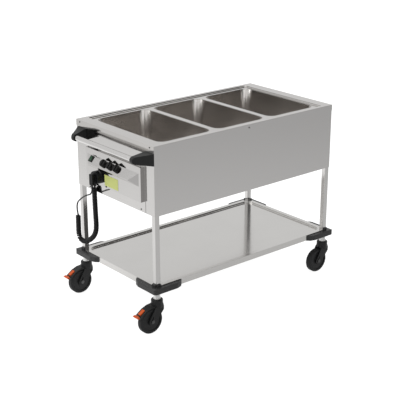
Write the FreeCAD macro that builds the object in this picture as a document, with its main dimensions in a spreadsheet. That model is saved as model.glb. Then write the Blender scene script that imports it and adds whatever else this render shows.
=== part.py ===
"""Heated food serving trolley, a parametric document in millimetres.

+X runs along the trolley away from the push handle, +Y to the far long side, +Z up.  The origin lies on
the floor, under the middle of the whole trolley.  Each piece is drawn in a frame of its own and put in
its place by its Placement.
"""
import FreeCAD
import Part
import Sketcher
import math
import os
import re
from FreeCAD import Placement, Rotation, Vector

# --------------------------------------------------------------------------------------------------
# Driving dimensions
# --------------------------------------------------------------------------------------------------
SIZES = {
    # housing of folded stainless sheet
    "HousingLength": 1132,
    "HousingWidth": 609,
    "HousingHeight": 330,
    "WorkHeight": 900,
    "SheetThickness": 1.5,
    # raised rim and sunk middle of the deck
    "RimStep": 7,
    "DeckRimSide": 20,
    "DeckRimEnd": 55,
    "DeckFlange": 30,
    "TrayCornerRadius": 12,
    "StepTopRadius": 1.2,
    "StepFootRadius": 3,
    # wells for full size food pans
    "WellLength": 308,
    "WellWidth": 508,
    "WellDepth": 200,
    "WellPitch": 339,
    "WellCornerRadius": 40,
    "WellFloorRadius": 16,
    "WellLip": 10,
    "HeaterLength": 220,
    "HeaterWidth": 420,
    "HeaterThickness": 6,
    # legs and lower shelf
    "LegSide": 25,
    "LegWall": 1.5,
    "WeldLap": 1,
    "LegCornerRadius": 2,
    "ShelfTop": 229,
    "ShelfEdge": 29,
    "ShelfRim": 22,
    "ShelfStep": 9,
    "ShelfCornerRadius": 40,
    # corner bumpers
    "BumperWing": 150,
    "BumperProud": 25,
    "BumperHeight": 26,
    "BumperDrop": 3.5,
    "BumperEnd": 42,
    "BumperTip": 16,
    "BumperBevel": 5,
    "BumperCorner": 15,
    "CollarRise": 11,
    "CollarWall": 5,
    "CollarNotch": 4,
    # service panel and control box on the handle end
    "ServiceWidth": 474,
    "ServiceDrop": 102,
    "ServiceGap": 2,
    "WindowWidth": 380,
    "WindowHeight": 120,
    "BoxWidth": 432,
    "BoxOffset": -9,
    "BoxDrop": 113,
    "BoxHeight": 165,
    "BoxDepth": 16,
    "ConsoleDrop": 29,
    "ConsoleHeight": 63,
    "ConsoleReach": 30,
    "ConsoleSlope": 50,
    "ConsoleBackHalf": 202,
    "ConsoleFrontHalf": 158,
    "ConsoleEdge": 2,
    # knobs, thermostats and switch on the console
    "ControlRise": 4,
    "KnobRadius": 18,
    "KnobHeight": 14,
    "KnobPitch": 51.5,
    "KnobMiddle": -10,
    "KnobGap": 0.6,
    "KnobEdge": 2,
    "GripWidth": 7,
    "GripHeight": 3,
    "SpindleRadius": 3,
    "SpindleLength": 10,
    "RunningGap": 0.05,
    "ThermostatSide": 30,
    "ThermostatDepth": 20,
    "SwitchPlace": 143,
    "SwitchLength": 31,
    "SwitchWidth": 25,
    "SwitchRim": 4,
    "SwitchDepth": 18,
    "SwitchWall": 1.2,
    "RockerRadius": 11.5,
    "RockerHalfWidth": 7.5,
    "RockerPivot": 2.5,
    "RockerGap": 0.4,
    "RockerAngle": 8,
    # bare plate on the control box
    "PlateWidth": 107,
    "PlateHeight": 54,
    "PlateThickness": 1,
    "PlateMiddle": 3,
    "PlateRise": 9,
    # parking cup, plug and cord
    "CupRadius": 32,
    "CupDepth": 28,
    "CupEdge": 2,
    "CupFloor": 4,
    "CupPlaceY": 104,
    "CupRise": 39,
    "GlandRadius": 7.5,
    "GlandEndRadius": 6.5,
    "GlandLength": 20,
    "GlandPlace": 150,
    "PlugRadius": 19,
    "PlugInsert": 9,
    "PlugNeck": 7,
    "GripThick": 12,
    "PlugGripWidth": 26,
    "PlugGripTop": 22,
    "PlugGripDrop": 34,
    "PlugGripCorner": 6,
    "ReliefRadius": 5.5,
    "ReliefEndRadius": 4,
    "ReliefLength": 20,
    "ReliefSunk": 6,
    "PinRadius": 2.4,
    "PinLength": 14,
    "PinSpacing": 19,
    "CordRadius": 3.4,
    "CoilRadius": 11.2,
    # push handle
    "HandleReach": 62,
    "HandleDrop": 64,
    "HandleOffset": -8,
    "BarRadius": 12.5,
    "BarInsert": 20,
    "BracketBaseInner": 235,
    "BracketNoseInner": 221,
    "BracketNoseOuter": 250,
    "BracketNoseRadius": 18,
    "BracketRise": 31,
    "BracketFall": 26,
    "BracketShoulder": 4,
    # casters
    "WheelRadius": 62.5,
    "WheelWidth": 32,
    "TyreDepth": 15,
    "TyreEdge": 8,
    "HubInset": 3,
    "CasterTrail": 42,
    "HeadRadius": 28,
    "HeadTop": 161,
    "StemRadius": 15.5,
    "StemCap": 18,
    "StemCapHeight": 7,
    "StemPin": 6,
    "StemPlug": 40,
    "StemPlugGap": 0.1,
    "SwivelGap": 0.3,
    "ForkWidth": 46,
    "ForkEye": 20,
    "EyeFrontAngle": 53,
    "EyeBackAngle": 26,
    "ForkNeck": 23,
    "ForkTop": 150,
    "ForkShoulder": 128,
    "ForkTopHalf": 13,
    "ForkFrontBend": 110,
    "ForkBackBend": 126,
    "WheelGap": 4,
    "SideGap": 2,
    "AxleRadius": 5,
    "AxleHeadRadius": 9,
    "AxleHead": 3,
    "HeadEdge": 4,
    "HeadBottom": 122,
    "StemPinLength": 38,
    "HubBossRadius": 14,
    "SlotTopX": 40,
    "SlotTopZ": 87,
    "SlotFootX": 52,
    "SlotFootZ": 58,
    "SlotWidth": 5,
    "BrakeWidth": 40,
    "BrakeTop": 141,
    "BrakeBendX": 45,
    "BrakeBendZ": 137.5,
    "BrakeKneeX": 76,
    "BrakeKneeZ": 126,
    "BrakeEndX": 108,
    "BrakeEndZ": 104,
    "PedalWidth": 34,
    "PedalSlot": 20,
    "PedalGap": 1,
    "PedalReach": 129,
    "PedalPin": 2.5,
    "PedalInner": 78,
    "PedalThick": 7,
    "PedalTipThick": 10.5,
    "PedalRise": 2,
    "PedalPivotX": 92,
    "PedalPivotZ": 111.5,
    "PedalTipX": 114,
    "PedalTipZ": 107,
    # small screws
    "ScrewRadius": 4,
    "ScrewHeight": 2,
    "ScrewMargin": 1,
    "ScrewInset": 30,
    "ScrewDrop": 10,
    "SideScrewDrop": 16,
    "PanelScrewDrop": 12,
    "PanelScrewPlace": 205,
}

# Positions worked out from the driving dimensions, each a formula of sizes and of other positions.
PLACES = {
    "WallX": "HousingLength / 2",
    "WallY": "HousingWidth / 2",
    "HousingBottom": "WorkHeight - HousingHeight",
    "RimUnder": "WorkHeight - SheetThickness",
    "DeckX": "WallX + SheetThickness",
    "LegX": "WallX - SheetThickness - LegSide / 2",
    "LegY": "WallY - SheetThickness - LegSide / 2",
    "BumperTop": "ShelfTop - BumperDrop",
    "BumperBottom": "BumperTop - BumperHeight",
    "PedalTip": "LegX + PedalReach",
    "BumperReach": "WallX + BumperProud",
    "Middle": "(PedalTip - BumperReach) / 2",
    "PanelFace": "WallX + SheetThickness",
    "BoxFace": "PanelFace + BoxDepth",
    "ServiceTop": "WorkHeight - ServiceDrop",
    "BoxTop": "WorkHeight - BoxDrop",
    "BoxBottom": "BoxTop - BoxHeight",
    "CupPlaceZ": "BoxBottom + CupRise",
    "HandleHeight": "WorkHeight - HandleDrop",
    "ConsoleTop": "BoxTop - ConsoleDrop",
    "ConsoleFoot": "ConsoleTop - ConsoleHeight",
    "ConsoleFall": "ConsoleReach * tan(ConsoleSlope)",
    "FaceZ": "ConsoleTop - ConsoleFall / 2",
    "UnderRise": "(ConsoleTop - ConsoleFall - ConsoleEdge - ConsoleFoot) / ConsoleReach",
    "SideRun": "(ConsoleBackHalf - ConsoleFrontHalf) / ConsoleReach",
    "SwitchBodyHalf": "RockerRadius + RockerGap + SwitchWall",
    "SwitchBodySide": "RockerHalfWidth + RockerGap + SwitchWall",
    "LedgeTop": "WorkHeight - RimStep",
    "LedgeUnder": "LedgeTop - SheetThickness",
    "WellBottom": "LedgeUnder - WellDepth - SheetThickness",
    "StemBottom": "HeadTop + SwivelGap",
}

doc = FreeCAD.newDocument("serving_trolley")
sheet = doc.addObject("Spreadsheet::Sheet", "Sizes")
for row, (alias, number) in enumerate(SIZES.items(), start=1):
    sheet.set(f"A{row}", alias)
    sheet.set(f"B{row}", str(number))
    sheet.setAlias(f"B{row}", alias)
doc.recompute()

pieces = []


# --------------------------------------------------------------------------------------------------
# Drawing helpers
# --------------------------------------------------------------------------------------------------
def bound(formula):
    """Expression on the sheet's cells for a formula of named sizes and positions."""
    def swap(match):
        name = match.group()
        if name in SIZES:
            return "Sizes." + name
        if name in PLACES:
            return "(" + bound(PLACES[name]) + ")"
        return name
    return re.sub(r"[A-Za-z_]\w*", swap, str(formula))


def value(formula):
    """Number that a formula gives with the sheet's present sizes."""
    return float(sheet.evalExpression(bound(formula)))


def place(piece, x=0, y=0, z=0, turn=None):
    """Put a piece at a position given by formulas, after turning it about its own origin."""
    rotation = turn or Rotation()
    piece.Placement = Placement(Vector(value(x), value(y), value(z)), rotation)
    for axis, formula in (("x", x), ("y", y), ("z", z)):
        piece.setExpression(f"Placement.Base.{axis}", bound(formula))


def new_body(label):
    body = doc.addObject("PartDesign::Body", label)
    body.Label = label
    pieces.append(body)
    return body


def new_sketch(body, plane, offset):
    """Sketch parallel to one of the body's origin planes, at a distance along that plane's normal."""
    sketch = body.newObject("Sketcher::SketchObject", "sketch")
    support = [part for part in body.Origin.OriginFeatures if part.Role == plane + "_Plane"][0]
    sketch.AttachmentSupport = [(support, "")]
    sketch.MapMode = "FlatFace"
    sketch.setExpression("AttachmentOffset.Base.z", bound(offset))
    return sketch


def pin_point(sketch, geometry, end, x, y):
    """Hold one end of a line or the centre of a circle at a place given by formulas."""
    for kind, formula in (("DistanceX", x), ("DistanceY", y)):
        rule = Sketcher.Constraint(kind, -1, 1, geometry, end, value(formula))
        index = sketch.addConstraint(rule)
        sketch.setExpression(f"Constraints[{index}]", bound(formula))


def draw_polygon(sketch, corners):
    """Closed outline of straight lines through corners, each a pair of formulas."""
    first = sketch.GeometryCount
    spots = [Vector(value(x), value(y), 0) for x, y in corners]
    count = len(corners)
    for index in range(count):
        sketch.addGeometry(Part.LineSegment(spots[index], spots[(index + 1) % count]))
    for index in range(count):
        following = first + (index + 1) % count
        sketch.addConstraint(Sketcher.Constraint("Coincident", first + index, 2, following, 1))
    for index, (x, y) in enumerate(corners):
        pin_point(sketch, first + index, 1, x, y)


def draw_circle(sketch, x, y, radius):
    index = sketch.addGeometry(Part.Circle(Vector(value(x), value(y), 0), Vector(0, 0, 1), value(radius)))
    pin_point(sketch, index, 3, x, y)
    rule = sketch.addConstraint(Sketcher.Constraint("Radius", index, value(radius)))
    sketch.setExpression(f"Constraints[{rule}]", bound(radius))


def draw_rounded(sketch, x, y, half_x, half_y, radius):
    """Rectangle about (x, y) with round corners."""
    signs = ((-1, -1), (1, -1), (1, 1), (-1, 1))
    starts = []
    for index, (sign_x, sign_y) in enumerate(signs):
        centre = (f"{x} + {sign_x} * ({half_x} - ({radius}))", f"{y} + {sign_y} * ({half_y} - ({radius}))")
        middle = Vector(value(centre[0]), value(centre[1]), 0)
        angle = math.pi * (1 + index / 2)
        circle = Part.Circle(middle, Vector(0, 0, 1), value(radius))
        arc = sketch.addGeometry(Part.ArcOfCircle(circle, angle, angle + math.pi / 2))
        pin_point(sketch, arc, 3, *centre)
        rule = sketch.addConstraint(Sketcher.Constraint("Radius", arc, value(radius)))
        sketch.setExpression(f"Constraints[{rule}]", bound(radius))
        starts.append(arc)
    for index, arc in enumerate(starts):
        following = starts[(index + 1) % 4]
        geometry = sketch.Geometry
        line = sketch.addGeometry(Part.LineSegment(geometry[arc].EndPoint, geometry[following].StartPoint))
        sketch.addConstraint(Sketcher.Constraint("Tangent", arc, 2, line, 1))
        sketch.addConstraint(Sketcher.Constraint("Tangent", line, 2, following, 1))


def extrude(body, kind, plane, low, high, draw):
    """Pad or Pocket between two levels along the plane's normal axis.

    draw(sketch) fills the sketch.  A sketch on the XZ plane looks along +Y, so its normal is -Y.
    """
    facing_back = plane == "XZ"
    pad = kind == "Pad"
    level = low if pad != facing_back else high
    offset = f"-({level})" if facing_back else level
    sketch = new_sketch(body, plane, offset)
    draw(sketch)
    feature = body.newObject("PartDesign::" + kind, kind.lower())
    feature.Profile = sketch
    feature.setExpression("Length", bound(f"({high}) - ({low})"))
    feature.Refine = True
    body.Tip = feature
    doc.recompute()
    return feature


def box_outline(low_x, low_y, high_x, high_y):
    corners = [(low_x, low_y), (high_x, low_y), (high_x, high_y), (low_x, high_y)]
    return lambda sketch: draw_polygon(sketch, corners)


def polygon_outline(corners):
    return lambda sketch: draw_polygon(sketch, corners)


def rounded_outline(half_x, half_y, radius, x="0", y="0"):
    return lambda sketch: draw_rounded(sketch, x, y, half_x, half_y, radius)


def circle_outline(radius, x="0", y="0"):
    return lambda sketch: draw_circle(sketch, x, y, radius)


def round_edges(body, kind, size, wanted):
    """Fillet or Chamfer the edges of the body for which wanted(middle point, direction) holds."""
    names = []
    base = body.Tip
    for index, edge in enumerate(base.Shape.Edges, start=1):
        middle = edge.valueAt((edge.FirstParameter + edge.LastParameter) / 2)
        direction = edge.tangentAt((edge.FirstParameter + edge.LastParameter) / 2)
        if wanted(middle, direction):
            names.append(f"Edge{index}")
    feature = body.newObject("PartDesign::" + kind, kind.lower())
    feature.Base = (base, names)
    feature.setExpression("Radius" if kind == "Fillet" else "Size", bound(size))
    body.Tip = feature
    doc.recompute()


def near(number, formula):
    return abs(number - value(formula)) < 0.01


# --------------------------------------------------------------------------------------------------
# Housing: deck, wells, panels
# --------------------------------------------------------------------------------------------------
def sunk_sheet(body, half_x, half_y, rim_x, rim_y, corner, step):
    """Flat sheet whose middle is pressed down by step; its top is at z = 0."""
    middle = (f"{half_x} - {rim_x}", f"{half_y} - {rim_y}", corner)
    wall = tuple(f"{size} + SheetThickness" for size in middle)
    extrude(body, "Pad", "XY", "-SheetThickness", "0", box_outline(
        f"-({half_x})", f"-({half_y})", half_x, half_y))
    extrude(body, "Pad", "XY", f"-{step} - SheetThickness", "0", rounded_outline(*wall))
    extrude(body, "Pocket", "XY", f"-{step}", "0", rounded_outline(*middle))

    def within(point):
        return abs(point.x) < value(middle[0]) + 1 and abs(point.y) < value(middle[1]) + 1

    round_edges(body, "Fillet", "StepTopRadius", lambda p, d: within(p) and near(p.z, "0"))
    round_edges(body, "Fillet", "StepFootRadius", lambda p, d: within(p) and near(p.z, f"-{step}"))


def make_deck():
    body = new_body("deck")
    sunk_sheet(body, "DeckX", "WallY", "DeckRimEnd", "DeckRimSide", "TrayCornerRadius", "RimStep")

    def openings(sketch):
        for index in (-1, 0, 1):
            draw_rounded(sketch, f"{index} * WellPitch", "0", "WellLength / 2", "WellWidth / 2",
                         "WellCornerRadius")

    extrude(body, "Pocket", "XY", "-RimStep - SheetThickness", "0", openings)
    for side in (-1, 1):
        ends = sorted((f"{side} * WallX", f"{side} * DeckX"), key=value)
        extrude(body, "Pad", "XY", "-DeckFlange", "-SheetThickness / 2", box_outline(
            ends[0], "-WallY", ends[1], "WallY"))
        flange = sorted((f"{side} * (WallY - SheetThickness)", f"{side} * (WallY - 2 * SheetThickness)"),
                        key=value)
        reach = "WallX - SheetThickness - LegSide"
        extrude(body, "Pad", "XY", "-DeckFlange", "-SheetThickness / 2", box_outline(
            f"-({reach})", flange[0], reach, flange[1]))
    place(body, "Middle", 0, "WorkHeight")


def make_well(index):
    """Open basin that hangs by its lip under the sunk sheet of the deck."""
    body = new_body(f"well_{index}")
    inner = ("WellLength / 2", "WellWidth / 2", "WellCornerRadius")
    outer = tuple(f"{size} + SheetThickness" for size in inner)
    lip = tuple(f"{size} + WellLip" for size in inner)
    extrude(body, "Pad", "XY", "-SheetThickness", "0", rounded_outline(*lip))
    extrude(body, "Pad", "XY", "-WellDepth - SheetThickness", "0", rounded_outline(*outer))
    extrude(body, "Pocket", "XY", "-WellDepth", "0", rounded_outline(*inner))
    round_edges(body, "Fillet", "WellFloorRadius", lambda p, d: near(p.z, "-WellDepth"))
    floor = "-WellDepth - SheetThickness"
    round_edges(body, "Fillet", "WellFloorRadius + SheetThickness", lambda p, d: near(p.z, floor))
    place(body, f"Middle + {index - 2} * WellPitch", 0, "LedgeUnder")


def make_side_panel(label, side):
    """Long side sheet; its outer face is the plane y = 0 of its own frame."""
    body = new_body(label)
    extrude(body, "Pad", "XY", "0", "HousingHeight - SheetThickness", box_outline(
        "-WallX", "0", "WallX", "SheetThickness"))
    turn = Rotation(Vector(0, 0, 1), 0 if side < 0 else 180)
    place(body, "Middle", f"{side} * WallY", "HousingBottom", turn)


def make_end_panel(label, side):
    """Short end sheet between the side panels; the one at the handle has a window for the controls."""
    body = new_body(label)
    half = "WallY - SheetThickness"
    extrude(body, "Pad", "YZ", "0", "SheetThickness", box_outline(
        f"-({half})", "0", half, "HousingHeight - SheetThickness"))
    if side < 0:
        cut_window(body, "HousingBottom")
    x = "Middle - WallX" if side < 0 else "Middle + WallX - SheetThickness"
    place(body, x, 0, "HousingBottom")


def cut_window(body, floor):
    """Window behind the control box, in a sheet whose own z = 0 is at the height floor."""
    middle = "(BoxBottom + BoxTop) / 2"
    extrude(body, "Pocket", "YZ", "0", "SheetThickness", box_outline(
        "BoxOffset - WindowWidth / 2", f"{middle} - WindowHeight / 2 - ({floor})",
        "BoxOffset + WindowWidth / 2", f"{middle} + WindowHeight / 2 - ({floor})"))


def make_service_panel():
    body = new_body("service_panel")
    extrude(body, "Pad", "YZ", "0", "SheetThickness", box_outline(
        "-ServiceWidth / 2", "0", "ServiceWidth / 2", "ServiceTop - HousingBottom - ServiceGap"))
    cut_window(body, "HousingBottom + ServiceGap")
    place(body, "Middle - PanelFace", 0, "HousingBottom + ServiceGap")


def make_base_panel():
    """Sheet that closes the housing underneath, notched round the legs."""
    body = new_body("base_panel")
    inner = ("WallX - SheetThickness", "WallY - SheetThickness")
    notch = (f"{inner[0]} - LegSide", f"{inner[1]} - LegSide")
    extrude(body, "Pad", "XY", "0", "SheetThickness", polygon_outline(notched_corners(inner, notch)))
    place(body, "Middle", 0, "HousingBottom")


def notched_corners(outer, notch):
    """Corner points of a rectangle whose four corners are cut back to notch."""
    corners = []
    for sign_x, sign_y, along_x in ((-1, -1, False), (1, -1, True), (1, 1, False), (-1, 1, True)):
        low_x = (f"{sign_x} * ({notch[0]})", f"{sign_y} * ({outer[1]})")
        inside = (f"{sign_x} * ({notch[0]})", f"{sign_y} * ({notch[1]})")
        low_y = (f"{sign_x} * ({outer[0]})", f"{sign_y} * ({notch[1]})")
        corners += [low_x, inside, low_y] if along_x else [low_y, inside, low_x]
    return corners


def make_heaters():
    """Flat heating pads under the floors of the wells, one solid each in one node."""
    pads = []
    for index in (-1, 0, 1):
        pad = doc.addObject("Part::Box", "heater_pad")
        for name, size in (("Length", "HeaterLength"), ("Width", "HeaterWidth"),
                           ("Height", "HeaterThickness")):
            pad.setExpression(name, bound(size))
        place(pad, f"{index} * WellPitch - HeaterLength / 2", "-HeaterWidth / 2", "-HeaterThickness")
        pads.append(pad)
    group = doc.addObject("Part::Compound", "heating_pads")
    group.Label = "heating_pads"
    group.Links = pads
    pieces.append(group)
    place(group, "Middle", 0, "WellBottom")


# --------------------------------------------------------------------------------------------------
# Frame: legs, shelf, bumpers
# --------------------------------------------------------------------------------------------------
CORNERS = {
    "handle_near": (-1, -1),
    "handle_far": (-1, 1),
    "end_near": (1, -1),
    "end_far": (1, 1),
}


def make_leg(name, sign_x, sign_y):
    body = new_body(f"leg_{name}")
    length = "RimUnder - BumperBottom"
    extrude(body, "Pad", "XY", "0", length, rounded_outline(
        "LegSide / 2", "LegSide / 2", "LegCornerRadius"))
    inside = "LegSide / 2 - LegWall"
    extrude(body, "Pocket", "XY", "0", length, box_outline(f"-({inside})", f"-({inside})", inside, inside))
    place(body, f"Middle + {sign_x} * LegX", f"{sign_y} * LegY", "BumperBottom")


def make_shelf():
    """Lower tray with a sunk middle, a folded skirt and a notch for each leg."""
    body = new_body("shelf")
    sunk_sheet(body, "WallX", "WallY", "ShelfRim", "ShelfRim", "ShelfCornerRadius", "ShelfStep")
    for sign in (-1, 1):
        ends = sorted((f"{sign} * WallX", f"{sign} * (WallX - SheetThickness)"), key=value)
        sides = sorted((f"{sign} * WallY", f"{sign} * (WallY - SheetThickness)"), key=value)
        extrude(body, "Pad", "XY", "-ShelfEdge", "-SheetThickness / 2", box_outline(
            ends[0], "-WallY", ends[1], "WallY"))
        extrude(body, "Pad", "XY", "-ShelfEdge", "-SheetThickness / 2", box_outline(
            "-WallX", sides[0], "WallX", sides[1]))
    notch = "(SheetThickness + LegSide)"

    def notches(sketch):
        for sign_x in (-1, 1):
            for sign_y in (-1, 1):
                xs = sorted((f"{sign_x} * (WallX - {notch})", f"{sign_x} * WallX"), key=value)
                ys = sorted((f"{sign_y} * (WallY - {notch})", f"{sign_y} * WallY"), key=value)
                draw_polygon(sketch, [(xs[0], ys[0]), (xs[1], ys[0]), (xs[1], ys[1]), (xs[0], ys[1])])

    extrude(body, "Pocket", "XY", "-ShelfEdge", "0", notches)
    place(body, "Middle", 0, "ShelfTop")


def make_bumper(name, sign_x, sign_y):
    """Angle of plastic round a shelf corner, with a collar that holds the leg.

    Its own origin is the shelf's corner and its wings run along +X and +Y.
    """
    body = new_body(f"bumper_{name}")
    tip = "BumperWing - BumperTip"
    end = "BumperWing - BumperEnd"
    extrude(body, "Pad", "XY", "0", "BumperHeight", polygon_outline([
        ("0", "0"), ("BumperWing", "0"), (tip, "-BumperTip"), (end, "-BumperProud"),
        ("-BumperProud", "-BumperProud"), ("-BumperProud", end), ("-BumperTip", tip),
        ("0", "BumperWing")]))
    round_edges(body, "Fillet", "BumperCorner", lambda p, d: (
        near(p.x, "-BumperProud") and near(p.y, "-BumperProud") and abs(d.z) > 0.9))
    bevel = polygon_outline([
        ("-BumperProud", "BumperHeight - BumperBevel"), ("BumperBevel - BumperProud", "BumperHeight"),
        ("-BumperProud", "BumperHeight")])
    for plane in ("XZ", "YZ"):
        extrude(body, "Pocket", plane, "-BumperProud", "BumperWing", bevel)
    leg = "SheetThickness + LegSide"
    extrude(body, "Pad", "XY", "0", "BumperHeight + CollarRise", polygon_outline([
        ("-CollarWall", "-CollarWall"), (leg, "-CollarWall"), (leg, "SheetThickness"),
        ("SheetThickness", "SheetThickness"), ("SheetThickness", leg), ("-CollarWall", leg)]))
    extrude(body, "Pocket", "XY", "BumperHeight", "BumperHeight + CollarRise", box_outline(
        "-CollarWall", "-CollarWall", "CollarNotch", "CollarNotch"))
    angle = {(-1, -1): 0, (1, -1): 90, (1, 1): 180, (-1, 1): 270}[(sign_x, sign_y)]
    turn = Rotation(Vector(0, 0, 1), angle)
    place(body, f"Middle + {sign_x} * WallX", f"{sign_y} * WallY", "BumperBottom", turn)


make_deck()
for number in (1, 2, 3):
    make_well(number)
make_side_panel("side_panel_near", -1)
make_side_panel("side_panel_far", 1)
make_end_panel("end_panel_handle", -1)
make_end_panel("end_panel_plain", 1)
make_service_panel()
make_base_panel()
make_heaters()
for corner_name, signs in CORNERS.items():
    make_leg(corner_name, *signs)
make_shelf()
for corner_name, signs in CORNERS.items():
    make_bumper(corner_name, *signs)

# --------------------------------------------------------------------------------------------------
# Push handle
# --------------------------------------------------------------------------------------------------
def make_bracket(name, side):
    """Plastic bracket from a housing corner to one end of the bar.

    Its own frame starts on the wall, at the height of the bar, with the wall's outside towards -X.
    """
    body = new_body(f"handle_bracket_{name}")
    outer = "(WallY + HandleOffset)"
    nose = "(HandleReach + BracketNoseRadius)"
    width = sorted((f"{side} * BracketNoseInner", f"{side} * {outer}"), key=value)
    extrude(body, "Pad", "XZ", width[0], width[1], polygon_outline([
        ("0", "BracketRise"), ("-HandleReach", "BracketNoseRadius"),
        ("-HandleReach", "-BracketNoseRadius"), ("0", "-BracketFall")]))
    extrude(body, "Pad", "XZ", width[0], width[1], circle_outline("BracketNoseRadius", "-HandleReach", "0"))
    inside = [("0", "BracketBaseInner"), (f"-{nose}", "BracketNoseInner"), ("0", "BracketNoseInner")]
    outside = [
        ("-BracketShoulder", outer), ("-HandleReach", "BracketNoseOuter"),
        (f"-{nose}", "BracketNoseOuter - BracketNoseRadius / 2"), (f"-{nose}", outer)]
    for plan in (inside, outside):
        corners = [(x, f"{side} * ({y})") for x, y in plan]
        extrude(body, "Pocket", "XY", "-BracketNoseInner", "BracketNoseInner", polygon_outline(corners))
    socket = sorted((f"{side} * (BracketNoseInner - BarRadius)", f"{side} * (BracketNoseInner + BarInsert)"),
                    key=value)
    extrude(body, "Pocket", "XZ", socket[0], socket[1], circle_outline(
        "BarRadius + RunningGap", "-HandleReach", "0"))
    place(body, "Middle - WallX", "HandleOffset", "HandleHeight")


def make_bar():
    body = new_body("handle_bar")
    reach = "BracketNoseInner + BarInsert - RunningGap"

    def ring(sketch):
        draw_circle(sketch, "0", "0", "BarRadius")
        draw_circle(sketch, "0", "0", "BarRadius - LegWall")

    extrude(body, "Pad", "XZ", f"-({reach})", reach, ring)
    place(body, "Middle - WallX - HandleReach", "HandleOffset", "HandleHeight")


# --------------------------------------------------------------------------------------------------
# Control box with its hipped console, knobs, thermostats, switch and bare plate
# --------------------------------------------------------------------------------------------------
def console_spot(along, height, start="0"):
    """X and Z formulas of a point on the console's sloping face.

    along runs up the slope from the middle of the face, height stands off it, and start is the X of
    the service panel's face.
    """
    x = f"{start} - BoxDepth - ConsoleReach / 2 + ({along}) * cos(ConsoleSlope)"
    z = f"FaceZ + ({along}) * sin(ConsoleSlope)"
    return f"{x} - ({height}) * sin(ConsoleSlope)", f"{z} + ({height}) * cos(ConsoleSlope)"


def tilt(piece):
    """Turn a piece or feature so that its own +Z stands on the console's sloping face."""
    piece.Placement.Rotation = Rotation(Vector(0, -1, 0), value("ConsoleSlope"))
    piece.setExpression("Placement.Rotation.Angle", bound("ConsoleSlope"))


def console_section(sketch, out, inset):
    """Rectangle across the console, out from the box's face, drawn inset from the outer skin."""
    top = f"ConsoleTop - ({out}) * tan(ConsoleSlope) - ({inset}) / cos(ConsoleSlope)"
    foot = f"ConsoleFoot + ({out}) * UnderRise + ({inset}) * sqrt(1 + UnderRise * UnderRise)"
    half = f"ConsoleBackHalf - ({out}) * SideRun - ({inset}) * sqrt(1 + SideRun * SideRun)"
    draw_polygon(sketch, [
        (f"BoxOffset - ({half})", foot), (f"BoxOffset + ({half})", foot),
        (f"BoxOffset + ({half})", top), (f"BoxOffset - ({half})", top)])


def console_loft(body, kind, start, end, inset):
    sections = []
    for out in (start, end):
        sketch = new_sketch(body, "YZ", f"-BoxDepth - ({out})")
        console_section(sketch, out, inset)
        sections.append(sketch)
    doc.recompute()
    loft = body.newObject("PartDesign::" + kind, kind.lower())
    loft.Profile = sections[0]
    loft.Sections = [sections[1]]
    loft.Ruled = True
    body.Tip = loft
    doc.recompute()


def cut_slanted(body, kind, sizes, along, across, height):
    """Hole through the console's sloping face, a primitive whose corner or base is given."""
    hole = body.newObject("PartDesign::" + kind, "hole")
    for name, formula in sizes.items():
        hole.setExpression(name, bound(formula))
    tilt(hole)
    x, z = console_spot(along, height)
    for axis, formula in (("x", x), ("y", across), ("z", z)):
        hole.setExpression(f"Placement.Base.{axis}", bound(formula))
    body.Tip = hole
    doc.recompute()


def make_control_box():
    body = new_body("control_box")
    low, high = "BoxOffset - BoxWidth / 2", "BoxOffset + BoxWidth / 2"
    extrude(body, "Pad", "YZ", "-BoxDepth", "0", box_outline(low, "BoxBottom", high, "BoxTop"))
    console_loft(body, "AdditiveLoft", "0", "ConsoleReach", "0")
    wall = "SheetThickness"
    extrude(body, "Pocket", "YZ", f"{wall} - BoxDepth", "0", box_outline(
        f"{low} + {wall}", f"BoxBottom + {wall}", f"{high} - {wall}", f"BoxTop - {wall}"))
    console_loft(body, "SubtractiveLoft", f"-{wall}", f"ConsoleReach - 3 * {wall}", wall)
    through = "4 * SheetThickness"
    for index in (-1, 0, 1):
        sizes = {"Radius": "SpindleRadius + SwivelGap", "Height": through}
        cut_slanted(body, "SubtractiveCylinder", sizes, "ControlRise", f"KnobMiddle + {index} * KnobPitch",
                    f"-{through} / 2")
    sizes = {"Length": "2 * SwitchBodyHalf + 2 * SwivelGap", "Width": "2 * SwitchBodySide + 2 * SwivelGap",
             "Height": through}
    cut_slanted(body, "SubtractiveBox", sizes, "ControlRise - SwitchBodyHalf - SwivelGap",
                "SwitchPlace - SwitchBodySide - SwivelGap", f"-{through} / 2")
    place(body, "Middle - PanelFace", 0, 0)


def place_on_console(piece, across, height="0"):
    x, z = console_spot("ControlRise", height, "Middle - PanelFace")
    place(piece, x, across, z)
    tilt(piece)


def make_knob(index):
    body = new_body(f"knob_{index}")
    extrude(body, "Pad", "XY", "KnobGap", "KnobHeight", circle_outline("KnobRadius"))
    round_edges(body, "Chamfer", "KnobEdge", lambda p, d: near(p.z, "KnobHeight"))
    half = "(KnobRadius - KnobEdge)"
    extrude(body, "Pad", "XY", "KnobHeight - KnobEdge", "KnobHeight + GripHeight", box_outline(
        f"-{half}", "-GripWidth / 2", half, "GripWidth / 2"))
    extrude(body, "Pocket", "XY", "KnobGap", "SpindleLength + KnobGap", circle_outline(
        "SpindleRadius + RunningGap"))
    place_on_console(body, f"KnobMiddle - {index - 2} * KnobPitch")


def make_thermostat(index):
    """Thermostat behind the console's face, with the spindle that carries the knob."""
    body = new_body(f"thermostat_{index}")
    half = "ThermostatSide / 2"
    top = "-SheetThickness - RunningGap"
    extrude(body, "Pad", "XY", f"{top} - ThermostatDepth", top, box_outline(
        f"-{half}", f"-{half}", half, half))
    extrude(body, "Pad", "XY", f"{top} - WeldLap", "SpindleLength", circle_outline("SpindleRadius"))
    place_on_console(body, f"KnobMiddle - {index - 2} * KnobPitch")


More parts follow.
